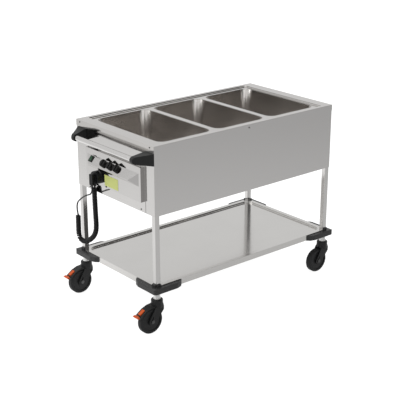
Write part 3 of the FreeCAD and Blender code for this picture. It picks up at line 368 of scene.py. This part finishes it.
# Control points of the route, from the corner of the cable gland's box at the cord's middle
TAIL_ROUTE = [
    (-0.041, 0.104, -0.009), (-0.041, 0.1055, -0.023), (-0.0408, 0.112, -0.035),
    (-0.0403, 0.125, -0.0465), (-0.0388, 0.152, -0.057), (-0.0362, 0.187, -0.075),
    (-0.0325, 0.223, -0.099), (-0.0285, 0.252, -0.121), (-0.0255, 0.265, -0.145),
    (-0.0235, 0.268, -0.168), (-0.0225, 0.264, -0.189),
]
COIL_ROUTE = [
    (-0.0225, 0.264, -0.189), (-0.0215, 0.265, -0.222), (-0.020, 0.268, -0.256),
    (-0.0185, 0.271, -0.284), (-0.0175, 0.2705, -0.302), (-0.0165, 0.265, -0.318),
    (-0.015, 0.249, -0.3255), (-0.0135, 0.229, -0.3255), (-0.0115, 0.206, -0.317),
    (-0.0095, 0.181, -0.3015), (-0.0075, 0.155, -0.278), (-0.0055, 0.138, -0.249),
    (-0.004, 0.135, -0.216), (-0.0025, 0.139, -0.180), (-0.0012, 0.143, -0.135),
    (0.0005, 0.147, -0.082), (0.0016, 0.1495, -0.048), (0.0032, 0.150, -0.020),
]


def curve_through(name, points, radius, resolution):
    """Smooth open curve with those control points."""
    data = bpy.data.curves.new(name, "CURVE")
    data.dimensions = "3D"
    data.resolution_u = resolution
    spline = data.splines.new("NURBS")
    spline.points.add(len(points) - 1)
    for point, place in zip(spline.points, points):
        point.co = (*place, 1)
    spline.order_u = 3
    spline.use_endpoint_u = True
    data.bevel_depth = radius
    data.bevel_resolution = 3
    data.use_fill_caps = True
    curve = bpy.data.objects.new(name, data)
    scene.collection.objects.link(curve)
    return curve


def read_line(curve):
    """Points along a curve that has no bevel, in order, each of them once."""
    bpy.context.view_layer.update()
    graph = bpy.context.evaluated_depsgraph_get()
    mesh = bpy.data.meshes.new_from_object(curve.evaluated_get(graph))
    points = []
    for vertex in mesh.vertices:
        if not points or (vertex.co - points[-1]).length > SAME_POINT:
            points.append(vertex.co.copy())
    bpy.data.meshes.remove(mesh)
    return points


def nearest(points, place):
    return min(range(len(points)), key=lambda index: (points[index] - place).length)


def total(points):
    """Distance travelled along the points at each of them."""
    travelled = [0.0]
    for before, after in zip(points, points[1:]):
        travelled.append(travelled[-1] + (after - before).length)
    return travelled


def curl_along(line, end):
    """Middle line of the wire: a helix round the line up to its end point, then the line."""
    travelled = total(line)
    side = Vector((1, 0, 0))
    turn = 0.0
    wire = [line[0]]
    for index in range(1, len(line)):
        tangent = (line[index] - line[index - 1]).normalized()
        side = (side - tangent * side.dot(tangent)).normalized()
        across = tangent.cross(side)
        if index >= end:
            wire.append(line[index])
            continue
        low, high = max(index - GUIDE_REACH, 0), min(index + GUIDE_REACH, len(line) - 1)
        bend = (line[index] - line[low]).angle(line[high] - line[index], 0.0)
        curvature = 2 * bend / (travelled[high] - travelled[low])
        pitch = TURN_PITCH / (1 - min(CURL_RADIUS * curvature, MOST_CROWDING))
        step = travelled[index] - travelled[index - 1]
        count = max(1, math.ceil(step / pitch * TURN_POINTS))
        for number in range(1, count + 1):
            along = travelled[index - 1] + step * number / count
            ease = min(along / CURL_RAMP, (travelled[end] - along) / CURL_RAMP, 1)
            ease = ease * ease * (3 - 2 * ease)
            turn += step / count / (pitch / max(ease, CURL_LEAST)) * 2 * math.pi
            middle = line[index - 1].lerp(line[index], number / count)
            outwards = side * math.cos(turn) + across * math.sin(turn)
            wire.append(middle + outwards * CURL_RADIUS * ease)
    return wire


def make_cord():
    """Curly cord from the gland to the plug: a curl and a plain tail on one smooth route."""
    gland_low, gland_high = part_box("cable_gland")
    corner = Vector((gland_low.x, 0, gland_high.z))
    route = [Vector(place) + corner for place in (TAIL_ROUTE + COIL_ROUTE[1:])[::-1]]
    guide = curve_through("route", route, 0.0, GUIDE_RESOLUTION)
    line = read_line(guide)
    bpy.data.objects.remove(guide)
    wire = curl_along(line, nearest(line, Vector(COIL_ROUTE[0]) + corner))
    cord = curve_through("cord", wire, CORD_RADIUS, 2)
    cord.data.materials.append(plastics["cord_rubber"])
    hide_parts("cord_tail", "cord_coil")
    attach(cord, "trolley")


# ------------------------------------------------------------------------------------------
# The scene
# ------------------------------------------------------------------------------------------
make_camera()
make_world()
make_floor()
for name, (place, size, power) in LAMPS.items():
    make_lamp(name, place, size, power)

steels = {name: steel(name, *values, **more) for name, values, more in (
    # colour, roughness and the axis of the grain
    ("sheet_along_x", ((0.60, 0.59, 0.58), 0.205, "X"), {"spread": 0.03, "grain": 0.000003}),
    ("sheet_along_y", ((0.565, 0.555, 0.545), 0.09, "Y"), {"spread": 0.05, "grain": 0.000004}),
    ("box_steel", ((0.535, 0.525, 0.515), 0.09, "Y"), {"spread": 0.05, "grain": 0.000004}),
    ("sheet_along_z", ((0.60, 0.59, 0.58), 0.12, "Z"), {"grain": 0.00001}),
    ("deck_steel", ((0.545, 0.53, 0.515), 0.1, "X"), {"grain": 0.000004}),
    ("shelf_steel", ((0.60, 0.59, 0.575), 0.125, "X"), {"grain": 0.000005}),
    ("tube_steel", ((0.62, 0.61, 0.60), 0.1, "Y"), {"grain": 0.000004}),
    ("well_steel", ((0.65, 0.627, 0.605), 0.205, "Z"), {"spread": 0.1, "grain": 0.000002}),
    ("zinc", ((0.7, 0.7, 0.69), 0.205, "Z"), {}),
    # screw heads darkened: painted shade that stands in for the shade in their cross recesses
    ("screw_steel", ((0.13, 0.13, 0.125), 0.4, "X"), {}),
    ("axle_steel", ((0.1, 0.1, 0.1), 0.4, "Y"), {}),
)}
plastics = {name: plastic(name, *values, **more) for name, values, more in (
    # colour, roughness and the depth of the grain
    ("bumper_grey", ((0.024, 0.024, 0.0245), 0.42, 0.00004), {"gloss": 0.35}),
    ("bracket_grey", ((0.012, 0.0122, 0.0122), 0.42, 0.00005), {}),
    ("fork_grey", ((0.0115, 0.0118, 0.012), 0.4, 0.00004), {}),
    ("hub_grey", ((0.0135, 0.0138, 0.0142), 0.42, 0.00004), {}),
    ("tyre_grey", ((0.014, 0.0143, 0.0148), 0.55, 0.00003), {}),
    ("pedal_orange", ((0.56, 0.085, 0.012), 0.4, 0.00003), {"spread": 0.06}),
    ("knob_black", ((0.005, 0.005, 0.005), 0.36, 0.00003), {"gloss": 0.15}),
    ("cup_black", ((0.006, 0.0065, 0.0065), 0.36, 0.00003), {"gloss": 0.18}),
    ("plug_black", ((0.006, 0.006, 0.006), 0.4, 0.00004), {"gloss": 0.15}),
    ("cord_rubber", ((0.008, 0.008, 0.0083), 0.38, 0.00003), {}),
    ("switch_black", ((0.006, 0.006, 0.006), 0.33, 0.00002), {}),
    ("switch_green", ((0.015, 0.06, 0.028), 0.33, 0.00002), {}),
    ("plate_yellow", ((0.53, 0.57, 0.19), 0.35, 0.00002), {"spread": 0.03}),
    ("pad_red", ((0.3, 0.08, 0.04), 0.7, 0.0001), {}),
)}
band_black(plastics["pedal_orange"])

make_cord()

SHEET_EDGE = 0.0006
dress("deck", steels["deck_steel"], SHEET_EDGE)
for name in ("side_panel_near", "side_panel_far", "base_panel"):
    dress(name, steels["sheet_along_x"], SHEET_EDGE)
for name in ("end_panel_handle", "end_panel_plain", "service_panel"):
    dress(name, steels["sheet_along_y"], SHEET_EDGE)
dress("control_box", steels["box_steel"], SHEET_EDGE)
dress("shelf", steels["shelf_steel"], SHEET_EDGE)
for number in (1, 2, 3):
    dress(f"well_{number}", steels["well_steel"], SHEET_EDGE)
    dress(f"knob_{number}", plastics["knob_black"], 0.0008)
    dress(f"thermostat_{number}", plastics["bracket_grey"], 0.001)
dress("heating_pads", plastics["pad_red"], 0.001)
for name in ("handle_bracket_near", "handle_bracket_far"):
    dress(name, plastics["bracket_grey"], 0.003, 3)
dress("handle_bar", steels["tube_steel"])
dress("switch_frame", plastics["switch_black"], 0.0006)
dress("switch_rocker", plastics["switch_green"], 0.0006)
dress("bare_plate", plastics["plate_yellow"], 0.0003)
dress("plug_holder", plastics["cup_black"], 0.0008)
dress("cable_gland", plastics["plug_black"], 0.0006)
dress("plug", plastics["plug_black"], 0.0015, 3)
dress("caster_stems", steels["zinc"], 0.0008)
# the panel screws get the darkened steel, painted shade for their cross recesses
dress("panel_screws", steels["screw_steel"], 0.0003)
for corner in ("handle_near", "handle_far", "end_near", "end_far"):
    dress(f"leg_{corner}", steels["sheet_along_z"], 0.0004)
    dress(f"bumper_{corner}", plastics["bumper_grey"], 0.002, 3)
    dress(f"caster_fork_{corner}", plastics["fork_grey"], 0.002, 3)
    dress(f"tyre_{corner}", plastics["tyre_grey"])
    dress(f"wheel_hub_{corner}", plastics["hub_grey"], 0.001)
    dress(f"axle_{corner}", steels["axle_steel"], 0.0008)
for corner in ("handle_near", "handle_far"):
    dress(f"brake_pedal_{corner}", plastics["pedal_orange"], 0.0015, 3)

scene.view_settings.view_transform = "Standard"
